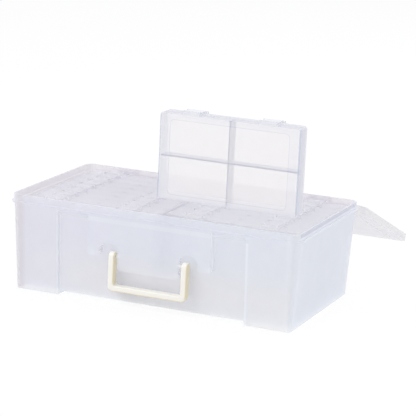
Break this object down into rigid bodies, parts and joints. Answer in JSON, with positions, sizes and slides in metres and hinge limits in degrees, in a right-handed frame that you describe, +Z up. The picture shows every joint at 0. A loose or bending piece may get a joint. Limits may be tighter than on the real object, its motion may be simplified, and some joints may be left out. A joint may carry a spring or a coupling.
{
  "type": "photo keeper case",
  "caption": "Milky carrying tub with a hinged lid and a swing handle, holding two columns of slim latched photo cases; one case is lifted out and has dividers.",
  "frame": {"origin": "on the ground under the middle of the whole object's box, lid open and case raised as stored", "axes": "+X to the right seen from the handle side, +Y to the back where the open lid hangs, +Z up"},
  "size_m": [0.3842, 0.4566, 0.2492],
  "materials": {
    "milky_plastic": "translucent, fine satin",
    "clear_plastic": "translucent, smooth",
    "ivory_plastic": "satin",
    "pin_plastic": "satin"
  },
  "bodies": {
    "tub": {"tub": "milky_plastic", "lid_hinge_pins": "pin_plastic"},
    "lid": {"lid": "milky_plastic", "lid_latch_pins": "pin_plastic"},
    "lid_latch_left": {"lid_latch_left": "milky_plastic"},
    "lid_latch_right": {"lid_latch_right": "milky_plastic"},
    "handle": {"handle": "ivory_plastic", "handle_pins": "pin_plastic"},
    "case_left_1": {"case_left_1_tray": "clear_plastic", "case_left_1_cover": "clear_plastic", "case_left_1_latches": "clear_plastic"},
    "case_left_2": {"case_left_2_tray": "clear_plastic", "case_left_2_cover": "clear_plastic", "case_left_2_latches": "clear_plastic"},
    "case_left_3": {"case_left_3_tray": "clear_plastic", "case_left_3_cover": "clear_plastic", "case_left_3_latches": "clear_plastic"},
    "case_left_4": {"case_left_4_tray": "clear_plastic", "case_left_4_cover": "clear_plastic", "case_left_4_latches": "clear_plastic"},
    "case_left_5": {"case_left_5_tray": "clear_plastic", "case_left_5_cover": "clear_plastic", "case_left_5_latches": "clear_plastic"},
    "case_left_6": {"case_left_6_tray": "clear_plastic", "case_left_6_cover": "clear_plastic", "case_left_6_latches": "clear_plastic"},
    "case_left_7": {"case_left_7_tray": "clear_plastic", "case_left_7_cover": "clear_plastic", "case_left_7_latches": "clear_plastic"},
    "case_left_8": {"case_left_8_tray": "clear_plastic", "case_left_8_cover": "clear_plastic", "case_left_8_latches": "clear_plastic"},
    "case_right_2": {"case_right_2_tray": "clear_plastic", "case_right_2_cover": "clear_plastic", "case_right_2_latches": "clear_plastic"},
    "case_right_3": {"case_right_3_tray": "clear_plastic", "case_right_3_cover": "clear_plastic", "case_right_3_latches": "clear_plastic"},
    "case_right_4": {"case_right_4_tray": "clear_plastic", "case_right_4_cover": "clear_plastic", "case_right_4_latches": "clear_plastic"},
    "case_right_5": {"case_right_5_tray": "clear_plastic", "case_right_5_cover": "clear_plastic", "case_right_5_latches": "clear_plastic"},
    "case_right_6": {"case_right_6_tray": "clear_plastic", "case_right_6_cover": "clear_plastic", "case_right_6_latches": "clear_plastic"},
    "case_right_7": {"case_right_7_tray": "clear_plastic", "case_right_7_cover": "clear_plastic", "case_right_7_latches": "clear_plastic"},
    "case_right_8": {"case_right_8_tray": "clear_plastic", "case_right_8_cover": "clear_plastic", "case_right_8_latches": "clear_plastic"},
    "raised_case": {"raised_case_cover": "clear_plastic"},
    "raised_case_tray": {"raised_case_tray": "clear_plastic", "raised_case_long_divider": "clear_plastic", "raised_case_short_divider": "clear_plastic"},
    "raised_case_latch_left": {"raised_case_latch_left": "clear_plastic"},
    "raised_case_latch_right": {"raised_case_latch_right": "clear_plastic"}
  },
  "joints": [
    {"name": "lid_hinge", "type": "hinge", "parent": "tub", "child": "lid", "pos_m": [0, 0.00071, 0.114], "axis": [1, 0, 0], "range_deg": [0, 202]},
    {"name": "lid_latch_left_swing", "type": "hinge", "parent": "lid", "child": "lid_latch_left", "pos_m": [-0.105, 0.21209, 0.02374], "axis": [1, 0, 0], "range_deg": [0, 75]},
    {"name": "lid_latch_right_swing", "type": "hinge", "parent": "lid", "child": "lid_latch_right", "pos_m": [0.105, 0.21209, 0.02374], "axis": [1, 0, 0], "range_deg": [0, 75]},
    {"name": "handle_swing", "type": "hinge", "parent": "tub", "child": "handle", "pos_m": [0, -0.2228, 0.062], "axis": [-1, 0, 0], "range_deg": [0, 130]},
    {"name": "case_left_1_lift", "type": "slide", "parent": "tub", "child": "case_left_1", "axis": [0, 0, -1], "range_m": [-0.12, 0]},
    {"name": "case_left_2_lift", "type": "slide", "parent": "tub", "child": "case_left_2", "axis": [0, 0, -1], "range_m": [-0.12, 0]},
    {"name": "case_left_3_lift", "type": "slide", "parent": "tub", "child": "case_left_3", "axis": [0, 0, -1], "range_m": [-0.12, 0]},
    {"name": "case_left_4_lift", "type": "slide", "parent": "tub", "child": "case_left_4", "axis": [0, 0, -1], "range_m": [-0.12, 0]},
    {"name": "case_left_5_lift", "type": "slide", "parent": "tub", "child": "case_left_5", "axis": [0, 0, -1], "range_m": [-0.12, 0]},
    {"name": "case_left_6_lift", "type": "slide", "parent": "tub", "child": "case_left_6", "axis": [0, 0, -1], "range_m": [-0.12, 0]},
    {"name": "case_left_7_lift", "type": "slide", "parent": "tub", "child": "case_left_7", "axis": [0, 0, -1], "range_m": [-0.12, 0]},
    {"name": "case_left_8_lift", "type": "slide", "parent": "tub", "child": "case_left_8", "axis": [0, 0, -1], "range_m": [-0.12, 0]},
    {"name": "case_right_2_lift", "type": "slide", "parent": "tub", "child": "case_right_2", "axis": [0, 0, -1], "range_m": [-0.12, 0]},
    {"name": "case_right_3_lift", "type": "slide", "parent": "tub", "child": "case_right_3", "axis": [0, 0, -1], "range_m": [-0.12, 0]},
    {"name": "case_right_4_lift", "type": "slide", "parent": "tub", "child": "case_right_4", "axis": [0, 0, -1], "range_m": [-0.12, 0]},
    {"name": "case_right_5_lift", "type": "slide", "parent": "tub", "child": "case_right_5", "axis": [0, 0, -1], "range_m": [-0.12, 0]},
    {"name": "case_right_6_lift", "type": "slide", "parent": "tub", "child": "case_right_6", "axis": [0, 0, -1], "range_m": [-0.12, 0]},
    {"name": "case_right_7_lift", "type": "slide", "parent": "tub", "child": "case_right_7", "axis": [0, 0, -1], "range_m": [-0.12, 0]},
    {"name": "case_right_8_lift", "type": "slide", "parent": "tub", "child": "case_right_8", "axis": [0, 0, -1], "range_m": [-0.12, 0]},
    {"name": "raised_case_lift", "type": "slide", "parent": "tub", "child": "raised_case", "axis": [0, 0, -1], "range_m": [0, 0.1296]},
    {"name": "raised_case_tray_hinge", "type": "hinge", "parent": "raised_case", "child": "raised_case_tray", "pos_m": [0.0902, -0.19355, 0.1373], "axis": [-1, 0, 0], "range_deg": [-80, 0]},
    {"name": "raised_case_latch_left_swing", "type": "hinge", "parent": "raised_case", "child": "raised_case_latch_left", "pos_m": [0.0412, -0.19055, 0.246], "axis": [1, 0, 0], "range_deg": [-90, 0]},
    {"name": "raised_case_latch_right_swing", "type": "hinge", "parent": "raised_case", "child": "raised_case_latch_right", "pos_m": [0.1392, -0.19055, 0.246], "axis": [1, 0, 0], "range_deg": [-90, 0]}
  ],
  "couplings": [
    {"joint": "raised_case_lift", "follows": "lid_hinge", "m_per_rad": 0.036703}
  ]
}
